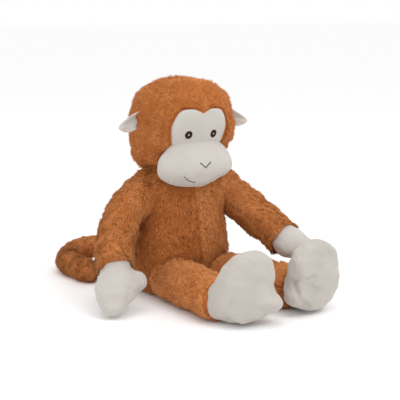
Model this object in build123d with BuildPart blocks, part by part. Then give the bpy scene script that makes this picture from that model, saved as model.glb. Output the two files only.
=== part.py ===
from build123d import *
import math
import os

# A large soft plush monkey that sits upright, facing -Y. Millimetres, +Z up.
# The origin is on the flat of the seat, below the neck, at the surface it sits on.
# +X is the monkey's own left side.

os.makedirs("parts", exist_ok=True)

# ---------------------------------------------------------------- driving dimensions
FABRIC = 3.0            # plush skin: backing with its pile packed flat
CREAM = 2.0             # smooth cream fabric
SOCKET_GAP = 3.4        # between a limb's ball and its socket, where the seam ring lies
RING_INNER = 0.5        # gap between a ball and the inside of its seam ring
RING_OUTER = 2.7        # the same to the outside of the ring

# torso sections: height, half width along X, half depth along Y, centre along Y
TORSO_SECTIONS = [
    (0, 62, 52, 4),
    (10, 72, 61, 3),
    (34, 80, 68, 1),
    (80, 83, 71, 0),
    (135, 78, 67, 0),
    (180, 70, 58, 1),
    (208, 61, 50, 2),
    (222, 54, 46, 2),
]
THIGH_CEILING = 80      # underside of the belly, over the thighs
THIGH_BACK = -3         # front of the seat, behind the thighs
THIGH_ROUND = 36        # rounding where those two meet

# neck and head
NECK = (0, 2, 262)      # centre of the neck ball, low in the head
NECK_BALL_R = 55
NECK_RIM_R = 48         # where the ball runs out into the underside of the head
HEAD_PROFILE = [(71, 239), (85, 253), (92, 284), (92, 312), (88, 340), (73, 374), (50, 390)]
HEAD_TOP = 398
HEAD_FLAT_R = 12
FACE_R = 125            # shallow sphere that flattens the face
FACE_CENTRE = (0, 40, 345)
# half outline of the face, from its notch to behind the muzzle: X and Z
FACE = [(0, 341), (18, 348), (38, 343), (50, 318), (48, 294), (43, 277)]
MUZZLE = (0, -55, 245)
MUZZLE_HALF_WIDTH = 74
MUZZLE_R = 40.5
MUZZLE_END_R = 30
MUZZLE_BACK_R = 66      # the muzzle's back lies on a cylinder about the neck
EYE_X = 25
EYE_Z = 303
EYE_HALF = (6.6, 7.2)
EYE_HOLE = (2.2, 2.4)
THREAD = 1.2            # height of the embroidery
NOSE = [(-10, 254), (0, 245), (11, 254)]
MOUTH = [(-39, 230), (-30, 222), (-17, 218)]
STITCH_WIDTH = 1.6
EAR = [(78, 341), (100, 335), (128, 314), (107, 307), (82, 307)]
EAR_Y = -8
EAR_THICKNESS = 7

# arms: shoulder, middle and wrist, then the tips of the hand and thumb
SHOULDER_BALL_R = 33
ARM_R = 30.5
ARM_ROUTES = {
    "right": [(-86, -4, 187), (-145, -30, 130), (-168, -78, 74)],
    "left": [(86, -6, 186), (127, -66, 140), (148, -132, 107)],
}
HAND_TIPS = {"right": (-192, -128, 11), "left": (147, -190, 93)}
HAND_ACROSS = {"right": (1, -0.35, 0), "left": (0.9, 0.2, 0)}
# along the hand: share of its length, half width and half thickness
HAND_SECTIONS = [(0.0, 26, 24), (0.3, 31, 24), (0.62, 29, 21), (0.86, 21, 15), (1.0, 9, 7)]
THUMBS = {
    "right": [(-172, -92, 54), (-145, -97, 50)],
    "left": [(149, -158, 104), (171, -167, 102)],
}
THUMB_R = 13

# legs: hip, middle and ankle, then the foot's centre and the tip of its big toe
HIP_BALL_R = 38
LEG_R = 36
LEG_ROUTES = {
    "right": [(-44, -45, 38), (-42, -134, 38), (-34, -222, 38)],
    "left": [(44, -45, 38), (80, -127, 38), (121, -204, 38)],
}
# along the foot: distance, half width, half height, rise of its centre, share of its shift
FOOT_SECTIONS = [(0, 33, 33, 0, 0), (14, 47, 50, 14, 0.5), (30, 55, 64, 29, 1),
                 (48, 54, 63, 29, 1), (60, 44, 55, 29, 1)]
FOOT_FORWARD = {"right": (0.05, -1, 0), "left": (0.22, -1, 0)}
FOOT_SHIFTS = {"right": (19, 0, 0), "left": (7, 0, 0)}
TOES = {
    "right": [(0, -262, 48), (33, -273, 38)],
    "left": [(122, -238, 48), (94, -250, 36)],
}
TOE_R = 21

# tail
TAIL_HIP = (0, 82, 40)
TAIL_BALL_R = 21
TAIL_R = 19
TAIL_TIP_SWELL = 0.5
TAIL_ROUTE = [TAIL_HIP, (-14, 148, 48), (-52, 222, 46), (-116, 262, 31), (-158, 208, 21), (-142, 128, 21)]
TAIL_BEND_SHARE = 0.42  # share of the shorter run that each bend may use

PELLET_BAG = (0, 28, 25)
PELLET_BAG_HALF = (24, 16)
POUCH = 1.5

FAR = 300               # longer than the object, for cutting blocks


# ---------------------------------------------------------------- shared forms
def finish(piece, label):
    """Label a finished piece and write it under its node name."""
    piece.part.label = label
    export_step(piece.part, f"parts/{label}.step")


def ball(centre, radius):
    """A plain ball about a point."""
    with BuildPart() as form:
        with Locations(centre):
            Sphere(radius)
    return form.part


def combined(base, added=(), removed=()):
    """One solid from a base, forms added to it and forms taken away."""
    with BuildPart() as form:
        add(base)
        for other in added:
            add(other)
        for other in removed:
            add(other, mode=Mode.SUBTRACT)
    return form.part


def seam_ring(centre, ball_radius, axis, inner, outer):
    """A band of a thin spherical shell about an axis: the stitched edge of a limb's opening."""
    low_r = ball_radius + RING_INNER
    high_r = ball_radius + RING_OUTER
    sideways = Vector(*axis).cross(Vector(0.6, 0.7, 0.3)).normalized()
    with BuildPart() as form:
        with BuildSketch(Plane(origin=centre, x_dir=sideways, z_dir=sideways.cross(Vector(*axis)))):
            with BuildLine():
                corners = [(x, math.sqrt(r**2 - x**2)) for r, x in
                           ((low_r, inner), (low_r, outer), (high_r, outer), (high_r, inner))]
                RadiusArc(corners[0], corners[1], low_r)
                Line(corners[1], corners[2])
                RadiusArc(corners[2], corners[3], -high_r)
                Line(corners[3], corners[0])
            make_face()
        revolve(axis=Axis(centre, axis))
    return form


def torso_form(inset):
    """A loft of ellipses, taken in by the inset."""
    low = TORSO_SECTIONS[0][0] + inset
    high = TORSO_SECTIONS[-1][0] - inset
    with BuildPart() as form:
        for height, half_width, half_depth, centre_y in TORSO_SECTIONS:
            with BuildSketch(Plane.XY.offset(min(max(height, low), high))):
                with Locations((0, centre_y)):
                    Ellipse(half_width - inset, half_depth - inset)
        loft()
    return form.part


def thigh_room(inset):
    """The step under the belly where the thighs lie."""
    with BuildPart() as form:
        with BuildSketch(Plane.YZ):
            with Locations((THIGH_BACK + inset - FAR / 2, (THIGH_CEILING + inset) - FAR / 2)):
                corner = Rectangle(FAR, FAR)
            fillet(corner.vertices().group_by(Axis.Y)[-1].sort_by(Axis.X)[-1], THIGH_ROUND + inset)
        extrude(amount=FAR / 2, both=True)
    return form.part


def torso_solid(inset):
    """The torso with its sockets and the room for its thighs."""
    cuts = [thigh_room(inset)]
    cuts.append(ball(NECK, NECK_BALL_R + SOCKET_GAP + inset))
    for route in ARM_ROUTES.values():
        cuts.append(ball(route[0], SHOULDER_BALL_R + SOCKET_GAP + inset))
    cuts.append(ball(TAIL_HIP, TAIL_BALL_R + SOCKET_GAP + inset))
    return combined(torso_form(inset), removed=cuts)


def muzzle_solid(inset):
    """A wide spindle with round ends, whose back lies on a cylinder about the neck."""
    radius = MUZZLE_R - inset
    end_r = MUZZLE_END_R - inset
    end_x = MUZZLE_HALF_WIDTH - MUZZLE_END_R
    lean = math.asin((radius - end_r) / end_x)
    shoulder = (radius * math.sin(lean), radius * math.cos(lean))
    corner = (end_x + end_r * math.sin(lean), end_r * math.cos(lean))
    half_way = (math.pi / 2 + lean) / 2
    cheek = (end_x + end_r * math.sin(half_way), end_r * math.cos(half_way))
    with BuildPart() as form:
        with BuildSketch(Plane(origin=MUZZLE)):
            with BuildLine():
                ThreePointArc((-shoulder[0], shoulder[1]), (0, radius), shoulder)
                Line(shoulder, corner)
                ThreePointArc(corner, cheek, (end_x + end_r, 0))
                Line((end_x + end_r, 0), (-end_x - end_r, 0))
                ThreePointArc((-end_x - end_r, 0), (-cheek[0], cheek[1]), (-corner[0], corner[1]))
                Line((-corner[0], corner[1]), (-shoulder[0], shoulder[1]))
            make_face()
        revolve(axis=Axis(MUZZLE, (1, 0, 0)))
        with Locations((0, NECK[1], MUZZLE[2])):
            Cylinder(MUZZLE_BACK_R + inset, 3 * MUZZLE_R, mode=Mode.SUBTRACT)
    return form.part


def head_form(inset):
    """A round head turned about the neck, with a ball below and a shallow face in front."""
    ball_r = NECK_BALL_R - inset
    rim_r = NECK_RIM_R - inset
    rim_z = NECK[2] - math.sqrt(ball_r**2 - rim_r**2)
    middle = math.asin(rim_r / ball_r) / 2
    shape = [(r - inset, z) for r, z in HEAD_PROFILE]
    top = HEAD_TOP - inset
    with BuildPart() as form:
        with BuildSketch(Plane.XZ.offset(-NECK[1])):
            with BuildLine():
                ThreePointArc(
                    (0, NECK[2] - ball_r),
                    (ball_r * math.sin(middle), NECK[2] - ball_r * math.cos(middle)),
                    (rim_r, rim_z),
                )
                Spline((rim_r, rim_z), *shape, (HEAD_FLAT_R, top))
                Line((HEAD_FLAT_R, top), (0, top))
                Line((0, top), (0, NECK[2] - ball_r))
            make_face()
        revolve(axis=Axis((0, NECK[1], 0), (0, 0, 1)))
        with Locations(FACE_CENTRE):
            Sphere(FACE_R - inset, mode=Mode.INTERSECT)
    return form.part


def limb_form(route, ball_r, tube_r):
    """A tube along an arc through three points, with a ball at its first point."""
    with BuildPart() as form:
        with BuildLine() as path:
            ThreePointArc(*route)
        with BuildSketch(Plane(origin=path.line @ 0, z_dir=path.line % 0)):
            Circle(tube_r)
        sweep()
        with Locations(route[0]):
            Sphere(ball_r)
    return form.part


def end_direction(route):
    """Direction of a limb's arc at its far end."""
    return ThreePointArc(*route, mode=Mode.PRIVATE) % 1


def capsule(start, end, radius):
    """A round-ended rod between two points."""
    run = Vector(*end) - Vector(*start)
    with BuildPart() as form:
        with BuildSketch(Plane(origin=start, z_dir=run)):
            Circle(radius)
        extrude(amount=run.length)
        with Locations(start, end):
            Sphere(radius)
    return form.part


def hand_form(side, inset):
    """A mitten: ellipses lofted from the cuff to the tip, with a thumb."""
    cuff = Vector(*ARM_ROUTES[side][-1])
    run = Vector(*HAND_TIPS[side]) - cuff
    across = Vector(*HAND_ACROSS[side])
    forward = end_direction(ARM_ROUTES[side])
    with BuildPart() as form:
        for share, half_width, half_thickness in HAND_SECTIONS:
            turned = forward * (1 - share) + run.normalized() * share
            reach = share if share < 1 else 1 - inset / run.length
            face = Plane(origin=cuff + run * reach, x_dir=across - turned * across.dot(turned), z_dir=turned)
            with BuildSketch(face):
                Ellipse(half_width - inset, half_thickness - inset)
        loft()
    return combined(form.part, added=[capsule(*THUMBS[side], THUMB_R - inset)])


def foot_form(side, inset):
    """A boot-shaped foot: ellipses lofted forward from the ankle, with a big toe."""
    ankle = Vector(*LEG_ROUTES[side][-1])
    leaving = end_direction(LEG_ROUTES[side])
    forward = Vector(*FOOT_FORWARD[side]).normalized()
    with BuildPart() as form:
        for distance, half_width, half_height, rise, share in FOOT_SECTIONS:
            reach = distance if distance < FOOT_SECTIONS[-1][0] else distance - inset
            centre = ankle + forward * reach + Vector(0, 0, rise) + Vector(*FOOT_SHIFTS[side]) * share
            turned = leaving * (1 - share) + forward * share
            with BuildSketch(Plane(origin=centre, x_dir=turned.cross(Vector(0, 0, 1)), z_dir=turned)):
                Ellipse(half_width - inset, half_height - inset)
        loft()
    return combined(form.part, added=[capsule(*TOES[side], TOE_R - inset)])


# ---------------------------------------------------------------- torso
torso_outer = torso_solid(0)
torso_inner = torso_solid(FABRIC)

for side, sign in (("right", -1), ("left", 1)):
    with BuildPart() as torso_panel:
        add(torso_outer)
        add(torso_inner, mode=Mode.SUBTRACT)
        with Locations((-sign * FAR / 2, 0, 0)):
            Box(FAR, FAR, 2 * FAR, mode=Mode.SUBTRACT)
    finish(torso_panel, f"torso_panel_{side}")


def pellet_form(inset):
    """A low round bag in the seat."""
    radius, half_height = PELLET_BAG_HALF
    with BuildPart() as form:
        with Locations(PELLET_BAG):
            Cylinder(radius - inset, 2 * (half_height - inset))
        fillet(form.edges().filter_by(GeomType.CIRCLE), half_height * 0.7 - inset)
    return form.part


pouch_outer = pellet_form(0)
pouch_inner = pellet_form(POUCH)

with BuildPart() as pellet_pouch:
    add(pouch_outer)
    add(pouch_inner, mode=Mode.SUBTRACT)
finish(pellet_pouch, "pellet_pouch")

with BuildPart() as seat_pellets:
    add(pouch_inner)
finish(seat_pellets, "seat_pellets")

with BuildPart() as torso_stuffing:
    add(torso_inner)
    add(pouch_outer, mode=Mode.SUBTRACT)
finish(torso_stuffing, "torso_stuffing")

# ---------------------------------------------------------------- head
muzzle_outer = muzzle_solid(0)
muzzle_inner = muzzle_solid(CREAM)
head_outer = combined(head_form(0), removed=[muzzle_outer])
head_inner = combined(head_form(FABRIC), removed=[muzzle_solid(-FABRIC)])

with BuildPart() as neck_seam:
    add(seam_ring(NECK, NECK_BALL_R, (0, 0, -1), 16, 28))
finish(neck_seam, "neck_seam")

with BuildPart() as head_skin:
    add(head_outer)
    add(head_inner, mode=Mode.SUBTRACT)
finish(head_skin, "head_skin")

with BuildPart() as head_stuffing:
    add(head_inner)
finish(head_stuffing, "head_stuffing")

with BuildPart() as muzzle_skin:
    add(muzzle_outer)
    add(muzzle_inner, mode=Mode.SUBTRACT)
finish(muzzle_skin, "muzzle_skin")

with BuildPart() as muzzle_stuffing:
    add(muzzle_inner)
finish(muzzle_stuffing, "muzzle_stuffing")

with BuildPart() as face_patch:
    with BuildSketch(Plane.XZ):
        with BuildLine():
            Spline(*FACE)
            mirror(about=Plane.YZ)
            Line((-FACE[-1][0], FACE[-1][1]), FACE[-1])
        make_face()
    extrude(amount=FACE_R)
    with Locations(FACE_CENTRE):
        Sphere(FACE_R + CREAM, mode=Mode.INTERSECT)
        Sphere(FACE_R, mode=Mode.SUBTRACT)
    add(muzzle_outer, mode=Mode.SUBTRACT)
finish(face_patch, "face_patch")

for side, sign in (("right", -1), ("left", 1)):
    with BuildPart() as eye:
        with BuildSketch(Plane.XZ):
            with Locations((sign * EYE_X, EYE_Z)):
                Ellipse(*EYE_HALF)
                Ellipse(*EYE_HOLE, mode=Mode.SUBTRACT)
        extrude(amount=FACE_R)
        with Locations(FACE_CENTRE):
            Sphere(FACE_R + CREAM + THREAD, mode=Mode.INTERSECT)
            Sphere(FACE_R + CREAM, mode=Mode.SUBTRACT)
    finish(eye, f"eye_{side}")

    with BuildPart() as ear:
        with BuildSketch(Plane.XZ.offset(-EAR_Y)):
            with BuildLine():
                outline = [(sign * x, z) for x, z in EAR]
                Spline(*outline)
                Line(outline[-1], outline[0])
            make_face()
        extrude(amount=EAR_THICKNESS / 2, both=True)
        add(head_form(0), mode=Mode.SUBTRACT)
    finish(ear, f"ear_{side}")

for name, points in (("nose_stitch", NOSE), ("mouth_stitch", MOUTH)):
    with BuildPart() as stitch:
        with BuildSketch(Plane.XZ.offset(-MUZZLE[1] + MUZZLE_R / 2)):
            with BuildLine():
                Polyline(*points)
            trace(line_width=STITCH_WIDTH)
        extrude(amount=MUZZLE_R)
        add(muzzle_solid(-THREAD), mode=Mode.INTERSECT)
        add(muzzle_outer, mode=Mode.SUBTRACT)
    finish(stitch, name)

# ---------------------------------------------------------------- arms
for side, sign in (("right", -1), ("left", 1)):
    route = ARM_ROUTES[side]
    arm_outer = limb_form(route, SHOULDER_BALL_R, ARM_R)
    arm_inner = limb_form(route, SHOULDER_BALL_R - FABRIC, ARM_R - FABRIC)
    hand_outer = hand_form(side, 0)
    hand_inner = hand_form(side, CREAM)

    with BuildPart() as shoulder_seam:
        add(seam_ring(route[0], SHOULDER_BALL_R, (-sign, 0, 0), 5, 11))
    finish(shoulder_seam, f"shoulder_seam_{side}")

    with BuildPart() as arm_sleeve:
        add(arm_outer)
        add(arm_inner, mode=Mode.SUBTRACT)
    finish(arm_sleeve, f"arm_sleeve_{side}")

    with BuildPart() as arm_stuffing:
        add(arm_inner)
    finish(arm_stuffing, f"arm_stuffing_{side}")

    with BuildPart() as hand_skin:
        add(hand_outer)
        add(hand_inner, mode=Mode.SUBTRACT)
        add(arm_outer, mode=Mode.SUBTRACT)
    finish(hand_skin, f"hand_skin_{side}")

    with BuildPart() as hand_stuffing:
        add(hand_inner)
        add(arm_outer, mode=Mode.SUBTRACT)
    finish(hand_stuffing, f"hand_stuffing_{side}")

# ---------------------------------------------------------------- legs
for side, sign in (("right", -1), ("left", 1)):
    route = LEG_ROUTES[side]
    leg_outer = limb_form(route, HIP_BALL_R, LEG_R)
    leg_inner = limb_form(route, HIP_BALL_R - FABRIC, LEG_R - FABRIC)
    foot_outer = foot_form(side, 0)
    foot_inner = foot_form(side, CREAM)

    with BuildPart() as hip_seam:
        add(seam_ring(route[0], HIP_BALL_R, (0, 0, 1), 5, 11))
    finish(hip_seam, f"hip_seam_{side}")

    with BuildPart() as leg_sleeve:
        add(leg_outer)
        add(leg_inner, mode=Mode.SUBTRACT)
    finish(leg_sleeve, f"leg_sleeve_{side}")

    with BuildPart() as leg_stuffing:
        add(leg_inner)
    finish(leg_stuffing, f"leg_stuffing_{side}")

    with BuildPart() as foot_skin:
        add(foot_outer)
        add(foot_inner, mode=Mode.SUBTRACT)
        add(leg_outer, mode=Mode.SUBTRACT)
    finish(foot_skin, f"foot_skin_{side}")

    with BuildPart() as foot_stuffing:
        add(foot_inner)
        add(leg_outer, mode=Mode.SUBTRACT)
    finish(foot_stuffing, f"foot_stuffing_{side}")

# ---------------------------------------------------------------- tail


def bend_radii(route):
    """One radius for each corner of a route, as large as its two runs allow."""
    points = [Vector(*point) for point in route]
    radii = []
    for before, corner, after in zip(points, points[1:], points[2:]):
        arriving = corner - before
        leaving = after - corner
        turn = math.radians(arriving.get_angle(leaving))
        run = min(arriving.length, leaving.length)
        radii.append(TAIL_BEND_SHARE * run / math.tan(turn / 2))
    return radii


def tail_form(inset):
    """A tube along straight runs and arcs, with a ball at its root and a round tip."""
    with BuildPart() as form:
        with BuildLine() as path:
            FilletPolyline(*TAIL_ROUTE, radius=bend_radii(TAIL_ROUTE))
        with BuildSketch(Plane(origin=path.line @ 0, z_dir=path.line % 0)):
            Circle(TAIL_R - inset)
        sweep()
        with Locations(TAIL_HIP):
            Sphere(TAIL_BALL_R - inset)
        with Locations(TAIL_ROUTE[-1]):
            Sphere(TAIL_R + TAIL_TIP_SWELL - inset)
    return form.part


tail_outer = tail_form(0)
tail_inner = tail_form(FABRIC)

with BuildPart() as tail_seam:
    add(seam_ring(TAIL_HIP, TAIL_BALL_R, (0, -1, 0), 3.5, 8))
finish(tail_seam, "tail_seam")

with BuildPart() as tail_sleeve:
    add(tail_outer)
    add(tail_inner, mode=Mode.SUBTRACT)
finish(tail_sleeve, "tail_sleeve")

with BuildPart() as tail_stuffing:
    add(tail_inner)
finish(tail_stuffing, "tail_stuffing")
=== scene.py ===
import math

import bpy
import numpy as np
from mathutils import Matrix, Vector
from mathutils.bvhtree import BVHTree


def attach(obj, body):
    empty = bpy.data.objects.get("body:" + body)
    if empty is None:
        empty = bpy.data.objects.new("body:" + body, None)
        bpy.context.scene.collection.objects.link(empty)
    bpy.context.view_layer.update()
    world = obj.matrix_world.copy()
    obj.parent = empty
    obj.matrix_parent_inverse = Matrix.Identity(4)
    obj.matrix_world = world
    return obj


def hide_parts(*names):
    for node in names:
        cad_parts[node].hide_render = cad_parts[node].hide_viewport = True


# A large soft plush monkey that sits upright and faces -Y. Lengths here are in millimetres and
# are turned to metres when a mesh is made. +X is the monkey's own left side.

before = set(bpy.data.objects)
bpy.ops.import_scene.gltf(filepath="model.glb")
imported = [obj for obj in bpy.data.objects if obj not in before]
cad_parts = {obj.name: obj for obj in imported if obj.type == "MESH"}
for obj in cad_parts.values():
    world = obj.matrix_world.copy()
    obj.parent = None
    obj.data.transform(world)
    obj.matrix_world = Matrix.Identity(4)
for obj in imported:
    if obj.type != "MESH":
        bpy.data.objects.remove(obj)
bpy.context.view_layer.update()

MM = 0.001
FLOOR = 0.6             # nothing of the toy goes lower than this
FULL_TURN = 2 * math.pi
SIDES = (("right", -1), ("left", 1))
HALVES = (("front", -1), ("back", 1))

# ---------------------------------------------------------------- dimensions, near the CAD's
# torso: height, half width, half depth and middle in Y of each section
TORSO = [(1, 56, 44, 4), (3, 66, 51, 4), (10, 76, 59, 3), (34, 82, 67, 1), (60, 83, 69, 0), (80, 83, 70, 0),
         (110, 81, 69, 0), (135, 79, 66, 0), (160, 77, 62, 0), (180, 75, 58, 1), (200, 73, 54, 1),
         (215, 69, 51, 2), (230, 63, 47, 2), (244, 55, 43, 2), (254, 46, 38, 2), (258, 30, 26, 2)]
HIP_SPREAD = 7          # how much wider the torso is over the hips
HIP_Z = 75
HIP_REACH = 55
SHOULDER = (57, 0, 199)
SHOULDER_HALF = (45, 38, 38)
BELLY_Z = 95
BELLY_OUT = 5
SEAM_Z = 80
SEAM_DEPTH = 5
SEAM_TOP = 118
TORSO_BASE = 5          # no pile under the seat
# painted shade on the belly's right side, which lies in the near arm's shadow and under the muzzle, and
# painted light on its left side, towards the key light
TORSO_PAINTED_LIGHT_AND_SHADE = {
    ("front", "right"): -0.45,
    ("front", "left"): 0.25,
    ("back", "right"): 0.0,
    ("back", "left"): 0.0,
}
# head: radius and height of each section
HEAD = [(0, 228), (30, 228), (52, 231), (69, 239), (84, 253), (90, 284), (90.5, 312), (87.5, 340), (81, 360),
        (71, 375), (56, 385), (36, 390.5), (14, 393), (0, 393.5)]
HEAD_Y = 2
HEAD_BASE = 231         # no pile under the head
# face: the dome it is pressed to, and half of its outline in X and Z
FACE_R = 125
FACE_CENTRE = np.array((0, 40, 345.0))
FACE_MIDDLE = np.array((0, 308.0))
FACE = [(0, 341), (19, 348.5), (41, 344), (53.5, 318), (51, 294), (46, 277)]
MUZZLE = np.array((0, -55, 245.0))
MUZZLE_HALF = (76.5, 40.5)
MUZZLE_CORE = (-62, 242)
# muzzle: its section in Y and Z, from the top seam round the front and back under the face
MUZZLE_SECTION = [(-66, 300), (-73, 290.5), (-80, 280), (-87, 268.5), (-92.5, 257), (-95.5, 244),
                  (-94.5, 231), (-88, 217), (-76, 208), (-60, 205), (-45, 208), (-36, 222), (-33, 245),
                  (-38, 268), (-48, 290), (-57, 300)]
EYE_X = 25
EYE_Z = 303
NOSE = [(-10, 254), (0, 245), (11, 254)]
MOUTH = [(-39, 230), (-30, 222), (-17, 218)]
EAR = [(76, 345), (102, 338), (131, 319), (129, 310), (113, 305), (96, 310), (76, 320)]
EAR_FOLD = [(124, 315), (106, 315), (90, 324)]
EAR_MIDDLE = np.array((99, 322.0))
EAR_Y = -8
# ear: how far out from its middle, and how far back, each ring of the leaf is
EAR_RINGS = [(0.03, -0.5), (0.4, -0.9), (0.75, -2.8), (0.93, -3.4), (1.0, -1.6), (1.0, 1.2), (0.9, 3.2),
             (0.6, 4.4), (0.03, 5.0)]
# face patch: how far out from its middle, and how deep, each ring is
FACE_RINGS = [(0.02, 0), (0.25, 0), (0.5, 0), (0.75, 0), (0.9, 0), (0.97, 0.5), (1.0, 1.5), (1.01, 4),
              (0.9, 5), (0.5, 5), (0.02, 5)]
EYE_IN = (1.9, 2.1)     # half width and half height of the eye's pale middle
EYE_OUT = (6.1, 6.8)
# limbs: three points on the arc of each, from the root to the cuff
ARMS = {
    "right": [(-86, -4, 187), (-145, -30, 130), (-168, -78, 74)],
    "left": [(86, -6, 186), (127, -66, 140), (148, -132, 107)],
}
HAND_TIPS = {"right": (-199, -128, 10), "left": (147, -190, 93)}
HAND_ACROSS = {"right": (1, -0.35, 0), "left": (0.9, 0.2, 0)}
ARM_R = 29.5
ARM_SWELL = 1.0
ARM_TAPER = 1.5
SHOULDER_BALL = (32, 32, 32)
# hand: share of the way from cuff to tip, half width and half thickness
HAND_SECTIONS = [(-0.16, 26, 25), (-0.1, 28, 27), (0.05, 29, 27), (0.25, 34, 26), (0.5, 34.5, 24),
                 (0.75, 28.5, 19.5), (0.92, 19, 13.5), (1.02, 9, 7)]
THUMBS = {
    "right": [(-165, -92, 60), (-139, -98, 54)],
    "left": [(149, -158, 104), (171, -167, 102)],
}
THUMB_R = {"right": [21, 19], "left": [15, 13]}
THUMB_WEBS = {
    "right": [(-150, -100, 47), (-172, -120, 30)],
    "left": [(150, -160, 103), (149, -176, 98)],
}
THUMB_WEB_R = {"right": [18, 12], "left": [16, 12]}
LEGS = {
    "right": [(-44, -45, 38), (-42, -134, 38), (-34, -222, 38)],
    "left": [(44, -45, 38), (80, -127, 38), (121, -204, 38)],
}
LEG_R = (35.5, 34)
HIP_BALL = (37, 37, 36.5)
# foot: distance past the ankle, half width, half height, rise, and share of the turn to the sole
FOOT_SECTIONS = [(-8, 33, 33, 0, 0), (0, 35, 35, 2, 0), (14, 47, 50, 14, 0.5), (30, 55, 63, 29, 1),
                 (48, 54, 62, 29, 1), (60, 44, 54, 29, 1)]
FOOT_BREADTH = {"right": 0.92, "left": 1.02}
FOOT_FORWARD = {"right": (0.05, -1, 0), "left": (0.22, -1, 0)}
FOOT_SHIFTS = {"right": (26, 0, 0), "left": (5, 0, 0)}
TOES = {
    "right": [(0, -262, 48), (33, -273, 38)],
    "left": [(122, -238, 48), (94, -250, 36)],
}
TOE_R = (24, 20.5)
# lines pressed into the feet, in X and Z, with depth and width
FOOT_CREASES = {
    "right": [([(-26, 121), (-20, 117), (-13, 112)], 1.6, 2.6), ([(16, 72), (26, 66), (36, 68)], 2.4, 5)],
    "left": [
        ([(84, 64), (103, 69), (122, 72)], 3.4, 3.0),
        ([(84, 62), (108, 56), (132, 47)], 3.2, 3.0),
        ([(84, 60), (98, 60), (116, 60)], 2.2, 2.6),
        ([(84, 56), (87, 40), (98, 28), (110, 20)], 3.6, 4.5),
    ],
}
HAND_CREASES = {"right": [([(-151, 41), (-157, 46), (-163, 50)], 2.0, 3.2)], "left": []}
TAIL = [(0, 82, 40), (-14, 148, 48), (-52, 222, 46), (-116, 262, 31), (-158, 208, 21), (-142, 128, 21)]
TAIL_R = 18.5
TAIL_BALL = (20.5, 20.5, 20.5)


# ---------------------------------------------------------------- materials
def new_material(name):
    """A new node material, its nodes, its links and its Principled shader."""
    mat = bpy.data.materials.new(name)
    mat.use_nodes = True
    return mat, mat.node_tree.nodes, mat.node_tree.links, mat.node_tree.nodes["Principled BSDF"]


def mottled(name, dark, light, patch, grain, rough=0.9, sheen=0.3, sheen_tint=(1, 1, 1), bump=0.3,
            weave=None):
    """Cloth with patches of two colours and a fine grain in its colour and relief, and with weave a rib."""
    mat, nodes, links, shader = new_material(name)
    where = nodes.new("ShaderNodeTexCoord")
    broad = nodes.new("ShaderNodeTexNoise")
    broad.inputs["Scale"].default_value = patch
    broad.inputs["Detail"].default_value = 3
    fine = nodes.new("ShaderNodeTexNoise")
    fine.inputs["Scale"].default_value = grain
    fine.inputs["Detail"].default_value = 4
    for noise in (broad, fine):
        links.new(where.outputs["Object"], noise.inputs["Vector"])
    both = nodes.new("ShaderNodeMix")
    both.inputs["Factor"].default_value = 0.45
    links.new(broad.outputs["Fac"], both.inputs["A"])
    links.new(fine.outputs["Fac"], both.inputs["B"])
    ramp = nodes.new("ShaderNodeValToRGB")
    ramp.color_ramp.elements[0].position = 0.36
    ramp.color_ramp.elements[1].position = 0.64
    ramp.color_ramp.elements[0].color = (*dark, 1)
    ramp.color_ramp.elements[1].color = (*light, 1)
    links.new(both.outputs["Result"], ramp.inputs["Fac"])
    links.new(ramp.outputs["Color"], shader.inputs["Base Color"])
    height = fine.outputs["Fac"]
    if weave:
        wave = nodes.new("ShaderNodeTexWave")
        wave.inputs["Scale"].default_value = weave
        wave.inputs["Distortion"].default_value = 1.2
        wave.inputs["Detail"].default_value = 1
        links.new(where.outputs["Object"], wave.inputs["Vector"])
        mix = nodes.new("ShaderNodeMix")
        mix.inputs["Factor"].default_value = 0.5
        links.new(wave.outputs["Fac"], mix.inputs["A"])
        links.new(fine.outputs["Fac"], mix.inputs["B"])
        height = mix.outputs["Result"]
    relief = nodes.new("ShaderNodeBump")
    relief.inputs["Strength"].default_value = bump
    relief.inputs["Distance"].default_value = 0.001
    links.new(height, relief.inputs["Height"])
    links.new(relief.outputs["Normal"], shader.inputs["Normal"])
    shader.inputs["Roughness"].default_value = rough
    shader.inputs["Sheen Weight"].default_value = sheen
    shader.inputs["Sheen Roughness"].default_value = 0.5
    shader.inputs["Sheen Tint"].default_value = (*sheen_tint, 1)
    return mat


def pile_material(name, colour):
    """One tone of the pile."""
    mat, _, _, shader = new_material(name)
    shader.inputs["Base Color"].default_value = (*colour, 1)
    shader.inputs["Roughness"].default_value = 0.8
    shader.inputs["Specular IOR Level"].default_value = 0.12
    shader.inputs["Sheen Weight"].default_value = 0.12
    shader.inputs["Sheen Roughness"].default_value = 0.4
    shader.inputs["Sheen Tint"].default_value = (1.0, 0.66, 0.42, 1)
    return mat


BACKING = mottled("plush_backing", (0.32, 0.090, 0.020), (0.46, 0.145, 0.036), 28, 420, 0.95, 0.1,
                  (1, 0.7, 0.5), 0.8)
# from the roots to the tips, three tones each: the roots are painted darker and more saturated as shade deep
# in the pile, the tips lighter as light on them
PILE = [pile_material(f"pile_{i}", c) for i, c in enumerate((
    (0.41, 0.112, 0.023), (0.48, 0.143, 0.033), (0.55, 0.176, 0.046),
    (0.52, 0.170, 0.044), (0.635, 0.230, 0.069), (0.75, 0.295, 0.102)))]
VELOUR = mottled("cream_velour", (0.47, 0.438, 0.402), (0.54, 0.508, 0.472), 16, 900, 0.9, 0.3,
                 (1, 0.97, 0.93), 0.6, weave=60)
# the feet's velour: the same cream, painted darker as shade on the feet
SHADED_FOOT_VELOUR = mottled("shaded_foot_velour", (0.40, 0.37, 0.332), (0.51, 0.475, 0.435), 16, 900, 0.9, 0.3,
                      (1, 0.97, 0.93), 0.6, weave=60)
EAR_VELOUR = mottled("ear_velour", (0.50, 0.46, 0.415), (0.57, 0.535, 0.495), 30, 900, 0.9, 0.35,
                     (1, 0.97, 0.93), 0.35)
THREAD = mottled("dark_thread", (0.020, 0.009, 0.006), (0.045, 0.020, 0.013), 300, 1500, 0.7, 0.0,
                 (0.8, 0.6, 0.5), 0.5)
THREAD.node_tree.nodes["Principled BSDF"].inputs["Specular IOR Level"].default_value = 0.12
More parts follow.
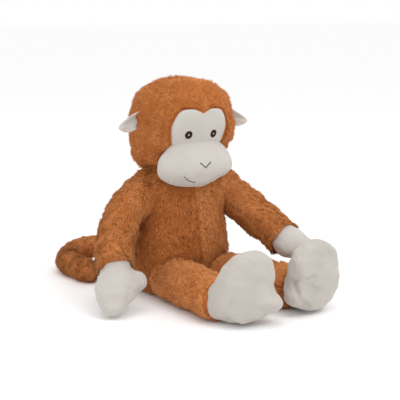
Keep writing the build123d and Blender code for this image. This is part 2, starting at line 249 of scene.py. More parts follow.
PALE_THREAD = mottled("pale_thread", (0.45, 0.40, 0.35), (0.60, 0.54, 0.48), 300, 1500, 0.55, 0.3,
                      (1, 0.95, 0.9), 0.5)
SEAM = mottled("seam_tape", (0.16, 0.05, 0.015), (0.28, 0.10, 0.035), 60, 900)
LINING = mottled("pouch_cloth", (0.62, 0.61, 0.57), (0.76, 0.75, 0.72), 50, 1200, weave=700)
BEADS = mottled("pellet_beads", (0.66, 0.66, 0.64), (0.85, 0.85, 0.83), 240, 500, rough=0.45, sheen=0.0)
FILLING = mottled("fibre_filling", (0.72, 0.72, 0.71), (0.88, 0.88, 0.87), 40, 600)

for node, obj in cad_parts.items():
    paint = FILLING
    if node.startswith("eye") or node.endswith("_stitch"):
        paint = THREAD
    elif "_seam" in node:
        paint = SEAM
    elif node == "pellet_pouch":
        paint = LINING
    elif node == "seat_pellets":
        paint = BEADS
    obj.data.materials.clear()
    obj.data.materials.append(paint)


# ---------------------------------------------------------------- forms
def unit(v):
    """The same direction at length one, row by row."""
    v = np.asarray(v, float)
    return v / np.maximum(np.linalg.norm(v, axis=-1, keepdims=True), 1e-9)


def arc_through(a, b, c, count=25):
    """Points along the circular arc through three points."""
    a, b, c = (np.array(p, float) for p in (a, b, c))
    ab, ac = b - a, c - a
    n = np.cross(ab, ac)
    if np.linalg.norm(n) < 1e-6 * np.linalg.norm(ac) ** 2:
        return a + np.linspace(0, 1, count)[:, None] * ac
    centre = a + (np.cross(n, ab) * (ac @ ac) + np.cross(ac, n) * (ab @ ab)) / (2 * n @ n)
    x = unit(a - centre)
    y = unit(np.cross(n, x))
    r = np.linalg.norm(a - centre)
    end = math.atan2((c - centre) @ y, (c - centre) @ x) % FULL_TURN
    turn = np.linspace(0, end, count)[:, None]
    return centre + r * (np.cos(turn) * x + np.sin(turn) * y)


def corner_cut(points, times=4):
    """A smooth run through the middle of each leg of a route, which cuts its corners."""
    p = np.array(points, float)
    for _ in range(times):
        q = 0.75 * p[:-1] + 0.25 * p[1:]
        r = 0.25 * p[:-1] + 0.75 * p[1:]
        p = np.concatenate([p[:1], np.stack([q, r], 1).reshape(-1, 3)[1:-1], p[-1:]])
    return p


def rings_to_mesh(rings):
    """Vertices and faces of a closed skin over a stack of rings."""
    rings = np.asarray(rings, float)
    count, around = rings.shape[:2]
    verts = np.concatenate([rings.reshape(-1, 3), rings[0].mean(0)[None], rings[-1].mean(0)[None]])
    faces = []
    for i in range(count - 1):
        for j in range(around):
            k = (j + 1) % around
            faces.append((i * around + j, i * around + k, (i + 1) * around + k, (i + 1) * around + j))
    first, last = count * around, count * around + 1
    for j in range(around):
        k = (j + 1) % around
        faces.append((first, k, j))
        faces.append((last, (count - 1) * around + j, (count - 1) * around + k))
    return verts, faces


def ellipse_ring(centre, x, y, around=40, round_off=1.0):
    """A ring of points on an ellipse with half axes x and y, squarer as round_off drops below one."""
    t = np.linspace(0, FULL_TURN, around, endpoint=False)[:, None]
    along, up = (np.sign(w) * np.abs(w) ** round_off for w in (np.cos(t), np.sin(t)))
    centre, x, y = (np.asarray(v, float) for v in (centre, x, y))
    return centre + along * x + up * y


def tube(points, radii, round_ends=(True, True), around=32):
    """A tube of changing radius along points, with round or flat ends."""
    p = np.asarray(points, float)
    r = np.broadcast_to(np.asarray(radii, float), len(p)).astype(float)
    tangent = unit(np.gradient(p, axis=0))
    side = unit(np.cross(tangent[0], (0.13, 0.2, 1.0)))
    rings = []
    for i, t in enumerate(tangent):
        side = unit(side - t * (side @ t))
        over = np.cross(t, side)
        here = [(0, 1)]
        if i == 0 and round_ends[0]:
            here = [(-math.cos(a), math.sin(a)) for a in np.linspace(0.15, math.pi / 2, 7)]
        if i == len(p) - 1 and round_ends[1]:
            here = [(math.cos(a), math.sin(a)) for a in np.linspace(math.pi / 2, 0.15, 7)]
        for along, wide in here:
            middle = p[i] + t * along * r[i]
            rings.append(ellipse_ring(middle, side * r[i] * wide, over * r[i] * wide, around))
    return rings_to_mesh(rings)


def ellipsoid(centre, half, around=32):
    """A ball squeezed to three half axes."""
    rings = []
    for a in np.linspace(0.08, math.pi - 0.08, 24):
        middle = np.array(centre, float) + (0, 0, -math.cos(a) * half[2])
        wide = math.sin(a)
        rings.append(ellipse_ring(middle, (half[0] * wide, 0, 0), (0, half[1] * wide, 0), around))
    return rings_to_mesh(rings)


def joined(*forms):
    """Several closed forms in one list of vertices and faces."""
    verts, faces, start = [], [], 0
    for v, f in forms:
        verts.append(v)
        faces += [tuple(i + start for i in face) for face in f]
        start += len(v)
    return np.concatenate(verts), faces


def make_object(name, verts, faces, mat):
    """A mesh object from points in millimetres."""
    mesh = bpy.data.meshes.new(name)
    mesh.from_pydata((np.asarray(verts, float) * MM).tolist(), [], faces)
    mesh.materials.append(mat)
    mesh.shade_smooth()
    obj = bpy.data.objects.new(name, mesh)
    bpy.context.scene.collection.objects.link(obj)
    return obj


def apply_modifiers(obj):
    """Bake the object's modifiers into its mesh."""
    bpy.context.view_layer.update()
    graph = bpy.context.evaluated_depsgraph_get()
    done = bpy.data.meshes.new_from_object(obj.evaluated_get(graph), depsgraph=graph)
    old = obj.data
    obj.modifiers.clear()
    obj.data = done
    done.name = obj.name
    bpy.data.meshes.remove(old)
    obj.data.shade_smooth()


def fused(name, form, mat, voxel, smooth):
    """One even skin over overlapping closed forms, with the creases between them softened."""
    obj = make_object(name, *form, mat)
    remesh = obj.modifiers.new("fuse", "REMESH")
    remesh.mode = "VOXEL"
    remesh.voxel_size = voxel * MM
    soften = obj.modifiers.new("soften", "SMOOTH")
    soften.iterations = smooth
    soften.factor = 0.6
    apply_modifiers(obj)
    if not obj.data.materials:
        obj.data.materials.append(mat)
    return obj


def points_of(obj):
    """The object's vertices in millimetres."""
    co = np.empty(len(obj.data.vertices) * 3, np.float32)
    obj.data.vertices.foreach_get("co", co)
    return co.reshape(-1, 3).astype(float) / MM


def normals_of(obj):
    """The object's vertex normals."""
    co = np.empty(len(obj.data.vertices) * 3, np.float32)
    obj.data.vertex_normals.foreach_get("vector", co)
    return co.reshape(-1, 3).astype(float)


def set_points(obj, co):
    """Move the object's vertices, none below the floor."""
    co = np.array(co, float)
    co[:, 2] = np.maximum(co[:, 2], FLOOR)
    obj.data.vertices.foreach_set("co", (co * MM).astype(np.float32).ravel())
    obj.data.update()


PRESSURE = 4.0
FRAMES = 20


def puff(obj, cap):
    """Fill a fabric skin: cloth under pressure, each point held near where it began."""
    scene = bpy.context.scene
    start = points_of(obj)
    cloth = obj.modifiers.new("fill", "CLOTH")
    settings = cloth.settings
    settings.use_pressure = True
    settings.uniform_pressure_force = PRESSURE
    settings.effector_weights.gravity = 0
    settings.quality = 5
    settings.tension_stiffness = 12
    settings.compression_stiffness = 12
    settings.bending_stiffness = 0.5
    cloth.collision_settings.use_collision = False
    cloth.point_cache.frame_start = 1
    cloth.point_cache.frame_end = FRAMES
    for f in range(1, FRAMES + 1):
        scene.frame_set(f)
    graph = bpy.context.evaluated_depsgraph_get()
    done = obj.evaluated_get(graph).to_mesh()
    co = np.empty(len(done.vertices) * 3, np.float32)
    done.vertices.foreach_get("co", co)
    obj.evaluated_get(graph).to_mesh_clear()
    moved = co.reshape(-1, 3).astype(float) / MM - start
    obj.modifiers.clear()
    far = np.linalg.norm(moved, axis=1, keepdims=True)
    moved = moved * np.minimum(1, cap / np.maximum(far, 1e-6))
    moved -= moved.mean(0)
    set_points(obj, start + moved)
    scene.frame_set(1)


def subdivide(obj):
    """One level of subdivision, applied."""
    level = obj.modifiers.new("finer", "SUBSURF")
    level.levels = 1
    level.render_levels = 1
    apply_modifiers(obj)


def crease(obj, line, depth, width):
    """Press a line into the skin, as thread or a fold pulls it in."""
    co = points_of(obj)
    n = normals_of(obj)
    p = np.array(line, float)
    best = np.full(len(co), 1e9)
    for a, b in zip(p[:-1], p[1:]):
        ab = b - a
        t = np.clip(((co - a) @ ab) / (ab @ ab), 0, 1)
        best = np.minimum(best, np.linalg.norm(co - (a + t[:, None] * ab), axis=1))
    pull = depth * np.exp(-(best / width) ** 2)
    set_points(obj, co - n * pull[:, None])


def smooth_noise(points, size, seed, terms=10):
    """Smooth values around zero at points, with features of about that size in millimetres."""
    rng = np.random.default_rng(seed)
    wave = rng.normal(size=(terms, 3)) * (FULL_TURN / size) * 0.55
    phase = rng.uniform(0, FULL_TURN, terms)
    return np.sin(np.asarray(points) @ wave.T + phase).sum(1) / math.sqrt(terms / 2)


def catmull(v, t):
    """Catmull-Rom values of a list at fractional places."""
    i = np.clip(np.floor(t).astype(int), 0, len(v) - 2)
    f = t - i
    a = v[np.maximum(i - 1, 0)]
    b = v[i]
    c = v[i + 1]
    d = v[np.minimum(i + 2, len(v) - 1)]
    return 0.5 * (2 * b + (c - a) * f + (2 * a - 5 * b + 4 * c - d) * f**2 + (3 * b - a - 3 * c + d) * f**3)


def smooth_run(points, t):
    """A smooth run through points in a plane, at fractional places."""
    p = np.array(points, float)
    return np.stack([catmull(p[:, k], t) for k in range(2)], 1)


# ---------------------------------------------------------------- pile
LOCKS = {"torso": 16000, "head": 17000, "arm": 15500, "leg": 18500, "tail": 18500}  # on each piece
BARE = {"arm": 7.0, "leg": 3.0}  # length without pile before a cuff
LOCK_LENGTH = 9.5
LOCK_LIFT = 0.45        # 0 lies along the skin, 1 stands up from it
LOCK_POINTS = 7         # three round the foot, three round the middle and the tip
LOCK_SIDES = [(0, 1, 4, 3), (1, 2, 5, 4), (2, 0, 3, 5)]
LOCK_ENDS = [(3, 4, 6), (4, 5, 6), (5, 3, 6), (2, 1, 0)]
ROOT_DEPTH = 1.2        # how far a lock's foot sits in the skin
MIDDLE_WIDTH = 0.72     # a lock's width at its middle, of its width at its foot
NORMAL_OF_SKIN = 0.84   # how much a lock is shaded as the skin it grows on
NORMAL_OF_LOCK = 0.32


def scatter(skin, keep, count, rng):
    """Even random points on a skin, and its normals there."""
    mesh = skin.data
    mesh.calc_loop_triangles()
    tri = np.empty(len(mesh.loop_triangles) * 3, np.int32)
    mesh.loop_triangles.foreach_get("vertices", tri)
    tri = tri.reshape(-1, 3)
    co = points_of(skin)
    nv = normals_of(skin)
    a, b, c = (co[tri[:, i]] for i in range(3))
    area = np.linalg.norm(np.cross(b - a, c - a), axis=1) * keep(co[tri].mean(1))
    pick = rng.choice(len(tri), size=count, p=area / area.sum())
    u, v = rng.random(count), rng.random(count)
    flip = u + v > 1
    u[flip], v[flip] = 1 - u[flip], 1 - v[flip]
    u, v = u[:, None], v[:, None]
    w = 1 - u - v
    root = w * a[pick] + u * b[pick] + v * c[pick]
    na, nb, nc = (nv[tri[pick, i]] for i in range(3))
    normal = unit(w * na + u * nb + v * nc)
    ok = keep(root)
    return root[ok], normal[ok]


def mesh_of_locks(name, verts):
    """One mesh of all the locks."""
    count = len(verts)
    start = (np.arange(count) * LOCK_POINTS)[:, None]
    quads = np.concatenate([start + np.array(s) for s in LOCK_SIDES], 1).reshape(-1)
    tris = np.concatenate([start + np.array(s) for s in LOCK_ENDS], 1).reshape(-1)
    loops = np.concatenate([quads, tris]).astype(np.int32)
    sizes = np.concatenate([np.full(count * len(LOCK_SIDES), 4), np.full(count * len(LOCK_ENDS), 3)])
    starts = np.concatenate([[0], np.cumsum(sizes)[:-1]]).astype(np.int32)
    mesh = bpy.data.meshes.new(name)
    mesh.vertices.add(count * LOCK_POINTS)
    mesh.vertices.foreach_set("co", (verts * MM).astype(np.float32).ravel())
    mesh.loops.add(len(loops))
    mesh.loops.foreach_set("vertex_index", loops)
    mesh.polygons.add(len(sizes))
    mesh.polygons.foreach_set("loop_start", starts)
    mesh.update(calc_edges=True)
    return mesh


def grow_pile(name, skin, body, groom, keep, count, seed, width=0.95, tone=0.0):
    """Tapered locks of pile over a skin. groom brushes it, keep limits it and tone makes it lighter as
    painted light, and darker as painted shade where it is below zero.
    """
    rng = np.random.default_rng(seed)
    root, normal = scatter(skin, keep, count, rng)
    count = len(root)
    brushed = groom(root)
    brushed = unit(brushed - normal * (brushed * normal).sum(1)[:, None])
    across = np.cross(normal, brushed)
    # locks near each other lean the same way, and each of them a little of its own
    swirl = 0.55 * smooth_noise(root, 22, seed + 1) + 0.45 * smooth_noise(root, 9, seed + 2)
    raised = LOCK_LIFT + 0.09 * smooth_noise(root, 18, seed + 3) + 0.07 * smooth_noise(root, 8, seed + 4)
    swirl = 0.26 * swirl + rng.normal(0, 0.32, count)
    raised = np.clip(raised + rng.normal(0, 0.08, count), 0.12, 1.0)[:, None]
    heading = unit(brushed * np.cos(swirl)[:, None] + across * np.sin(swirl)[:, None])
    long = LOCK_LENGTH * (1 + 0.16 * smooth_noise(root, 14, seed + 5) + rng.normal(0, 0.16, count))
    long = np.clip(long, 0.45 * LOCK_LENGTH, 1.5 * LOCK_LENGTH)[:, None]
    # each lock rises from its foot and bends over at its middle
    first = unit(heading * (1 - raised) + normal * raised)
    second = unit(heading * (1.15 - raised) + normal * (0.55 * raised))
    foot = root - normal * ROOT_DEPTH
    middle = root + first * long * 0.5
    around = unit(np.cross(first, normal + 0.3 * across))
    other = unit(np.cross(first, around))
    wide = (width * (1 + rng.normal(0, 0.15, count)))[:, None]
    turn = rng.uniform(0, FULL_TURN, count)
    verts = np.empty((count, LOCK_POINTS, 3))
    for k in range(3):
        t = (turn + k * FULL_TURN / 3)[:, None]
        out = np.cos(t) * around + np.sin(t) * other
        verts[:, k] = foot + out * wide
        verts[:, 3 + k] = middle + out * wide * MIDDLE_WIDTH
    verts[:, 6] = middle + second * long * 0.5
    verts[:, :, 2] = np.maximum(verts[:, :, 2], FLOOR)
    mesh = mesh_of_locks(name, verts)
    # three tones at the roots, painted darker as shade deep in the pile, and three lighter ones at the tips
    shade = 0.5 + 0.12 * smooth_noise(root, 32, seed + 6) + 0.05 * smooth_noise(root, 9, seed + 7)
    # painted light and shade: tone moves a piece's locks up the tones as painted light and down them as
    # painted shade
    shade = shade + rng.normal(0, 0.3, count) + tone
    step = np.clip((shade * 3).astype(int), 0, 2)
    index = np.concatenate([np.repeat(step, len(LOCK_SIDES)), np.repeat(step + 3, len(LOCK_ENDS))])
    mesh.polygons.foreach_set("material_index", index.astype(np.int32))
    for mat in PILE:
        mesh.materials.append(mat)
    mesh.shade_smooth()
    outward = unit(verts - verts.mean(1, keepdims=True))
    soft = np.repeat(normal[:, None, :], LOCK_POINTS, 1) * NORMAL_OF_SKIN + NORMAL_OF_LOCK * outward
    mesh.normals_split_custom_set_from_vertices(unit(soft.reshape(-1, 3)).astype(np.float32))
    mesh.validate()
    obj = bpy.data.objects.new(name, mesh)
    bpy.context.scene.collection.objects.link(obj)
    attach(obj, body)


def nearest(points, route):
    """The index of each point's nearest point on a route."""
    return np.argmin(np.linalg.norm(points[:, None, :] - route[None], axis=2), axis=1)


def half_of(points, route, sign):
    """Whether points are on one side, in X, of the nearest point of a route."""
    return (points[:, 0] - route[nearest(points, route), 0]) * sign > 0


def parted(points):
    """Pile brushed down, and to both sides of the seam low on the belly."""
    x, y, z = points.T
    part = 1.3 * np.exp(-(x / 7) ** 2) * (y < 0) * (z < SEAM_TOP)
    return np.stack([np.sign(x) * part, np.zeros(len(x)), np.full(len(x), -1.0)], 1)


def along_route(route):
    """Pile brushed along a route, from its start to its end."""
    tangent = unit(np.gradient(route, axis=0))

    def groom(points):
        return tangent[nearest(points, route)]
    return groom


def stretch(route, start, end):
    """Pile only where a route's nearest point is from start to end, as shares of its length."""
    def keep(points):
        near = nearest(points, route) / len(route)
        return (near >= start) & (near < end)
    return keep


def before_plane(at, facing):
    """Pile only behind a plane, such as a cuff."""
    facing = unit(facing)

    def keep(points):
        return (points - at) @ facing < 0
    return keep


# ---------------------------------------------------------------- torso
torso_rings = []
for z, a, b, y in TORSO:
    spread = HIP_SPREAD * math.exp(-((z - HIP_Z) / HIP_REACH) ** 2)
    torso_rings.append(ellipse_ring((-0.5 * spread, y, z), (a + spread, 0, 0), (0, b, 0), 56))
shoulders = [ellipsoid((sign * SHOULDER[0], *SHOULDER[1:]), SHOULDER_HALF) for _, sign in SIDES]
torso_skin = fused("torso_plush", joined(rings_to_mesh(torso_rings), *shoulders), BACKING, 5, 10)
co = points_of(torso_skin)
x, y, z = co.T
# the seam down the belly, soft folds across it and a full belly
seam = SEAM_DEPTH * np.exp(-(x / 3.5) ** 2 - ((z - SEAM_Z) / 45) ** 4) * (y < 0)
folds = 1.4 * smooth_noise(co * (0.6, 0.6, 1.2), 60, 3)
belly = BELLY_OUT * np.exp(-((z - BELLY_Z) / 42) ** 2 - (x / 60) ** 2) * (y < 0)
set_points(torso_skin, co + normals_of(torso_skin) * (folds + belly - seam)[:, None])
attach(torso_skin, "torso")
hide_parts("torso_panel_right", "torso_panel_left", "torso_stuffing")
for side, sign in SIDES:
    for part, front in HALVES:
        def torso_keep(p, s=sign, f=front):
            return (p[:, 0] * s > 0) & (p[:, 1] * f > 0) & (p[:, 2] > TORSO_BASE)

        grow_pile(f"torso_pile_{part}_{side}", torso_skin, "torso", parted, torso_keep, LOCKS["torso"],
                  100 + sign + 10 * front, tone=TORSO_PAINTED_LIGHT_AND_SHADE[part, side])

# ---------------------------------------------------------------- head
head_rings = []
for radius, z in HEAD:
    wide = max(radius, 1)
    head_rings.append(ellipse_ring((0, HEAD_Y, z), (wide, 0, 0), (0, wide, 0), 64))
head_skin = fused("head_plush", rings_to_mesh(head_rings), BACKING, 5, 3)
# the front is pressed to the dome of the face
co = points_of(head_skin)
away = co - FACE_CENTRE
far = np.linalg.norm(away, axis=1)
outside = np.maximum(far - (FACE_R - 0.5), 0) * (co[:, 1] < 20)
co = co - away / far[:, None] * outside[:, None]
set_points(head_skin, co + normals_of(head_skin) * (1.2 * smooth_noise(co, 45, 8))[:, None])
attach(head_skin, "head")
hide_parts("head_skin", "head_stuffing")

face_half = smooth_run(FACE, np.linspace(0, len(FACE) - 1, 90))
corner = np.array(FACE[-1], float)
low = np.linspace(corner, corner * (-1, 1), 30)[1:-1]
face_ring = np.concatenate([face_half, low, (face_half * (-1, 1))[::-1][:-1]])


def in_outline(points, grow):
    """Whether points, in X and Z, are inside the face's outline, moved out by grow."""
    rel = points - FACE_MIDDLE
    angle = np.arctan2(rel[:, 1], rel[:, 0])
    edge = face_ring - FACE_MIDDLE
    edge_angle = np.arctan2(edge[:, 1], edge[:, 0])
    order = np.argsort(edge_angle)
    far = np.linalg.norm(edge, axis=1)
    reach = np.interp(angle, edge_angle[order], far[order], period=FULL_TURN)
    return np.linalg.norm(rel, axis=1) < reach + grow


def in_muzzle(points, grow):
    """Whether points are inside the muzzle's form, moved out by grow."""
    long, thick = MUZZLE_HALF
    q = (points - MUZZLE) / (long + grow, thick + grow, thick + grow)
    return np.abs(q[:, 0]) ** 2.6 + (q[:, 1] ** 2 + q[:, 2] ** 2) ** 1.15 < 1


def head_keep(points):
    """Pile on the head but not under the face or the muzzle."""
    face = in_outline(points[:, [0, 2]], 1.0) & (points[:, 1] < -20)
    return ~face & ~in_muzzle(points, 0.5) & (points[:, 2] > HEAD_BASE)


def head_groom(points):
    """Pile brushed away from the face, and a little down."""
    out = unit(points - np.array((0, -85, 305.0)))
    return out + (0, 0, -0.45)


# painted shade: the head's pile is a step darker than the rest (tone -0.35)
for side, sign in SIDES:
    for part, front in HALVES:
        def quarter_keep(p, s=sign, f=front):
            return head_keep(p) & (p[:, 0] * s > 0) & ((p[:, 1] - EAR_Y) * f > 0)

        grow_pile(f"head_pile_{part}_{side}", head_skin, "head", head_groom, quarter_keep, LOCKS["head"],
                  200 + sign + 10 * front, tone=-0.35)

# face patch: a shallow dome whose edge turns in under the pile
rings = []
for reach, sink in FACE_RINGS:
    flat = FACE_MIDDLE + (face_ring - FACE_MIDDLE) * reach
    r = FACE_R + 2.0 - sink
    y = FACE_CENTRE[1] - np.sqrt(r**2 - flat[:, 0] ** 2 - (flat[:, 1] - FACE_CENTRE[2]) ** 2)
    rings.append(np.stack([flat[:, 0], y, flat[:, 1]], 1))
face_patch = make_object("face_velour", *rings_to_mesh(rings), VELOUR)
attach(face_patch, "head")
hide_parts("face_patch")

# muzzle: a section full in front, made smaller towards its ends
turn = np.linspace(0, len(MUZZLE_SECTION), 56, endpoint=False)
section = smooth_run([MUZZLE_SECTION[-1], *MUZZLE_SECTION, *MUZZLE_SECTION[:2]], turn + 1)
under = section[:, 1:] < MUZZLE_CORE[1]
rings = []
for x in np.sin(np.linspace(-math.pi / 2 + 0.05, math.pi / 2 - 0.05, 46)) * MUZZLE_HALF[0]:
    share = abs(x) / MUZZLE_HALF[0]
    size = (1 - share**1.95) ** 0.5
    middle = MUZZLE_CORE + np.array((8 * share**2, -3 * share**1.5))
    # the stuffing has sunk to the right, so the left side is thinner underneath
    drawn_up = 1 - 0.42 * np.clip(x / 60, 0, 1) ** 1.2
    flat = (section - MUZZLE_CORE) * np.where(under, (1, drawn_up), (1, 1))
    flat = middle + flat * size
    rings.append(np.stack([np.full(len(flat), x), flat[:, 0], flat[:, 1]], 1))
muzzle = fused("muzzle_velour", rings_to_mesh(rings), VELOUR, 4.5, 4)
puff(muzzle, cap=1.5)
subdivide(muzzle)
co = points_of(muzzle)
set_points(muzzle, co + normals_of(muzzle) * (0.5 * smooth_noise(co, 30, 12))[:, None])
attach(muzzle, "head")
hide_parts("muzzle_skin", "muzzle_stuffing")


def onto(obj, points, lift):
    """Points given in X and Z, laid on the front of an object and lifted off it."""
    obj.data.calc_loop_triangles()
    triangles = [t.vertices for t in obj.data.loop_triangles]
    tree = BVHTree.FromPolygons([v.co for v in obj.data.vertices], triangles)
    out = []
    for x, z in points:
        hit = tree.ray_cast(Vector((x * MM, -0.4, z * MM)), Vector((0, 1, 0)))[0]
        if hit:
            out.append(np.array(hit) / MM - (0, lift, 0))
    return np.array(out)


def stitched(name, on, lines, radius, body, replaced, mat=THREAD, lift=0.3):
    """Thread laid in lines on a piece."""
    forms = [tube(onto(on, line, lift), radius, around=8) for line in lines]
    obj = make_object(name, *joined(*forms), mat)
    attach(obj, body)
    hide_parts(*replaced)


def between(points, spacing=2.0):
    """Points every few millimetres along straight runs."""
    p = np.array(points, float)
    out = [p[:1]]
    for a, b in zip(p[:-1], p[1:]):
        steps = max(2, int(np.linalg.norm(b - a) / spacing))
        out.append(a + (b - a) * np.linspace(0, 1, steps + 1)[1:, None])
    return np.concatenate(out)


nose_lines = [between(NOSE[:2]), between(NOSE[1:])]
stitched("nose_thread", muzzle, nose_lines, 0.75, "head", ["nose_stitch"])
stitched("mouth_thread", muzzle, [between(MOUTH[:2]), between(MOUTH[1:])], 0.6, "head", ["mouth_stitch"])

# eyes: satin stitches laid outward round a pale middle
for side, sign in SIDES:
    eye = np.array((sign * EYE_X, EYE_Z))
    lines = []
    for a in np.linspace(0, FULL_TURN, 46, endpoint=False):
        ray = np.array((math.cos(a), math.sin(a)))
        wobble = 1 + 0.03 * math.sin(7 * a + sign)
        lines.append(eye + np.linspace(ray * EYE_IN, ray * EYE_OUT * wobble, 4))
    stitched(f"eye_thread_{side}", face_patch, lines, 0.55, "head", [f"eye_{side}"], lift=0.35)
    lines = [eye + np.array([(dx, -1.4), (dx, 0), (dx, 1.4)]) for dx in (-0.9, 0, 0.9)]
    stitched(f"eye_middle_{side}", face_patch, lines, 0.5, "head", [], PALE_THREAD, lift=0.2)

# ears: cupped leaves, with a fold pressed in
outline = smooth_run(EAR, np.linspace(0, len(EAR) - 1, 60))
outline = np.concatenate([outline, np.linspace(outline[-1], outline[0], 16)[1:-1]])
for side, sign in SIDES:
    rings = []
    for reach, out in EAR_RINGS:
        flat = EAR_MIDDLE + (outline - EAR_MIDDLE) * reach
        cup = 5 * (1 - reach**2)
        bend = -0.0022 * np.maximum(flat[:, 0] - 84, 0) ** 2
        y = EAR_Y + out + cup + bend
        rings.append(np.stack([sign * flat[:, 0], y, flat[:, 1]], 1))
    ear = make_object(f"ear_velour_{side}", *rings_to_mesh(rings), EAR_VELOUR)
    if sign > 0:
        ear.data.flip_normals()
    subdivide(ear)
    crease(ear, onto(ear, [(sign * x, z) for x, z in EAR_FOLD], 0), 2.6, 3.5)
    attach(ear, "head")
    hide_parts(f"ear_{side}")

# ---------------------------------------------------------------- arms
def pile_both_sides(limb, side, sign, skin, route, groom, seed, width=0.95, tone=0.0):
    """Pile on a limb's inner and outer side, up to a bare length before its cuff."""
    leaving = unit(route[-1] - route[-2])
    sleeve = before_plane(route[-1] - leaving * BARE[limb], leaving)
    for part, out in (("inner", -1), ("outer", 1)):
        def keep(p, s=sign * out):
            return sleeve(p) & half_of(p, route, s)

        grow_pile(f"{limb}_pile_{part}_{side}", skin, f"{limb}_{side}", groom, keep, LOCKS[limb],
                  seed + sign + 10 * out, width, tone)


for side, sign in SIDES:
    route = arc_through(*ARMS[side])
    run = len(route)
    swell = ARM_R + ARM_SWELL * np.sin(np.linspace(0, math.pi, run)) - ARM_TAPER * np.linspace(0, 1, run) ** 3
    leaving = unit(route[-1] - route[-2])
    forms = [tube(route, swell, (True, False)), ellipsoid(ARMS[side][0], SHOULDER_BALL)]
    arm = fused(f"arm_plush_{side}", joined(*forms), BACKING, 5, 4)
    co = points_of(arm)
    set_points(arm, co + normals_of(arm) * (1.1 * smooth_noise(co, 40, 21 + sign))[:, None])
    body = f"arm_{side}"
    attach(arm, body)
    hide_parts(f"arm_sleeve_{side}", f"arm_stuffing_{side}")
    pile_both_sides("arm", side, sign, arm, route, along_route(route), 300)

    cuff = np.array(ARMS[side][-1], float)
    span = np.array(HAND_TIPS[side], float) - cuff
    over = np.array(HAND_ACROSS[side], float)
    rings = []
    for share, half_width, half_thick in HAND_SECTIONS:
        s = min(max(share, 0), 1)
        turned = unit(leaving * (1 - s) + unit(span) * s)
        x = unit(over - turned * (over @ turned))
        at = cuff + (span * share if share >= 0 else leaving * share * 90)
        rings.append(ellipse_ring(at, x * half_width, np.cross(turned, x) * half_thick, 36))
    thumb = tube(THUMBS[side], THUMB_R[side])
    web = tube(THUMB_WEBS[side], THUMB_WEB_R[side])
    forms = [rings_to_mesh(rings), thumb, web]
    hand = fused(f"hand_velour_{side}", joined(*forms), VELOUR, 4, 8)
    puff(hand, cap=3.0)
    subdivide(hand)
    co = points_of(hand)
    set_points(hand, co + normals_of(hand) * (0.9 * smooth_noise(co, 26, 31 + sign))[:, None])
    for line, depth, width in HAND_CREASES[side]:
        crease(hand, onto(hand, line, 0), depth, width)
    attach(hand, body)
    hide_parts(f"hand_skin_{side}", f"hand_stuffing_{side}")

# ---------------------------------------------------------------- legs
for side, sign in SIDES:
    route = arc_through(*LEGS[side])
    leaving = unit(route[-1] - route[-2])
    forms = [tube(route, np.linspace(*LEG_R, len(route)), (True, False)), ellipsoid(LEGS[side][0], HIP_BALL)]
    leg = fused(f"leg_plush_{side}", joined(*forms), BACKING, 5, 4)
    co = points_of(leg)
    set_points(leg, co + normals_of(leg) * (1.1 * smooth_noise(co, 40, 41 + sign))[:, None])
    body = f"leg_{side}"
    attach(leg, body)
    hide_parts(f"leg_sleeve_{side}", f"leg_stuffing_{side}")
    # painted light: the legs' pile is a little lighter (tone 0.1), as light falling on their tops
    pile_both_sides("leg", side, sign, leg, route, along_route(route[::-1]), 400, width=1.05, tone=0.1)

    ankle = np.array(LEGS[side][-1], float)
    forward = unit(FOOT_FORWARD[side])
    rings = []
    for distance, half_width, half_height, rise, share in FOOT_SECTIONS:
        at = ankle + forward * distance + (0, 0, rise) + np.array(FOOT_SHIFTS[side], float) * share
        turned = unit(leaving * (1 - share) + forward * share)
        breadth = np.cross(turned, (0, 0, 1)) * (half_width * FOOT_BREADTH[side])
        rings.append(ellipse_ring(at, breadth, (0, 0, half_height), 40, 0.8))
    forms = [rings_to_mesh(rings), tube(TOES[side], TOE_R)]
    foot = fused(f"foot_velour_{side}", joined(*forms), SHADED_FOOT_VELOUR, 4.5, 8)
    puff(foot, cap=4.0)
    subdivide(foot)
    co = points_of(foot)
    set_points(foot, co + normals_of(foot) * (1.0 * smooth_noise(co, 34, 51 + sign))[:, None])
    for line, depth, width in FOOT_CREASES[side]:
        crease(foot, onto(foot, line, 0), depth, width)
    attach(foot, body)
    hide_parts(f"foot_skin_{side}", f"foot_stuffing_{side}")

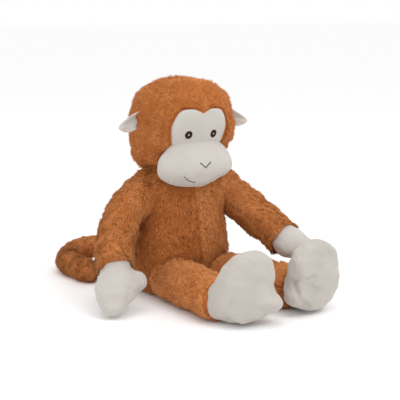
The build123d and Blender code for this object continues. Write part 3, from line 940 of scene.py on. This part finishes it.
# ---------------------------------------------------------------- tail
route = corner_cut(TAIL)
tail = fused("tail_plush", joined(tube(route, TAIL_R), ellipsoid(TAIL[0], TAIL_BALL)), BACKING, 4, 3)
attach(tail, "tail")
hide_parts("tail_sleeve", "tail_stuffing")
# painted light: the tail's pile is lighter (tone 0.2), as light falling on it from above
for part, start, end in (("base", 0, 0.5), ("end", 0.5, 1.01)):
    grow_pile(f"tail_pile_{part}", tail, "tail", along_route(route), stretch(route, start, end),
              LOCKS["tail"], 500 + round(10 * start), width=1.05, tone=0.2)

# ---------------------------------------------------------------- floor, light and camera
reach = 30              # metres
mesh = bpy.data.meshes.new("floor")
corners = [(-reach, -reach, 0), (reach, -reach, 0), (reach, reach, 0), (-reach, reach, 0)]
mesh.from_pydata(corners, [], [(0, 1, 2, 3)])
floor = bpy.data.objects.new("floor", mesh)
floor_mat, _, _, shader = new_material("pale_floor")
shader.inputs["Base Color"].default_value = (0.97, 0.97, 0.97, 1)
shader.inputs["Roughness"].default_value = 0.9
mesh.materials.append(floor_mat)
bpy.context.scene.collection.objects.link(floor)

world = bpy.data.worlds.new("studio")
world.use_nodes = True
world.node_tree.nodes["Background"].inputs["Color"].default_value = (1, 1, 1, 1)
world.node_tree.nodes["Background"].inputs["Strength"].default_value = 1.0
bpy.context.scene.world = world


def area_light(name, at, size, power):
    """A soft square light aimed at the toy's chest."""
    light = bpy.data.lights.new(name, "AREA")
    light.size = size
    light.energy = power
    obj = bpy.data.objects.new(name, light)
    obj.location = at
    obj.rotation_euler = (Vector((0, 0, 0.2)) - Vector(at)).to_track_quat("-Z", "Y").to_euler()
    bpy.context.scene.collection.objects.link(obj)


area_light("key", (0.6, -1.5, 2.1), 1.0, 12)
area_light("front", (-1.3, -1.7, 0.7), 1.3, 3)
area_light("top", (-0.3, -0.3, 2.4), 1.4, 9)
bpy.context.scene.view_settings.view_transform = "Standard"

azimuth, elevation, distance = math.radians(-27), math.radians(9.5), 1.9
level = math.cos(elevation)
back = Vector((math.sin(azimuth) * level, -math.cos(azimuth) * level, math.sin(elevation)))
camera_data = bpy.data.cameras.new("camera")
camera_data.lens = 91.4
camera_data.shift_x = 0.046
camera_data.shift_y = -0.052
camera = bpy.data.objects.new("camera", camera_data)
camera.location = Vector((0, 0, 0.21)) + back * distance
camera.rotation_euler = back.to_track_quat("Z", "Y").to_euler()
bpy.context.scene.collection.objects.link(camera)
bpy.context.scene.camera = camera
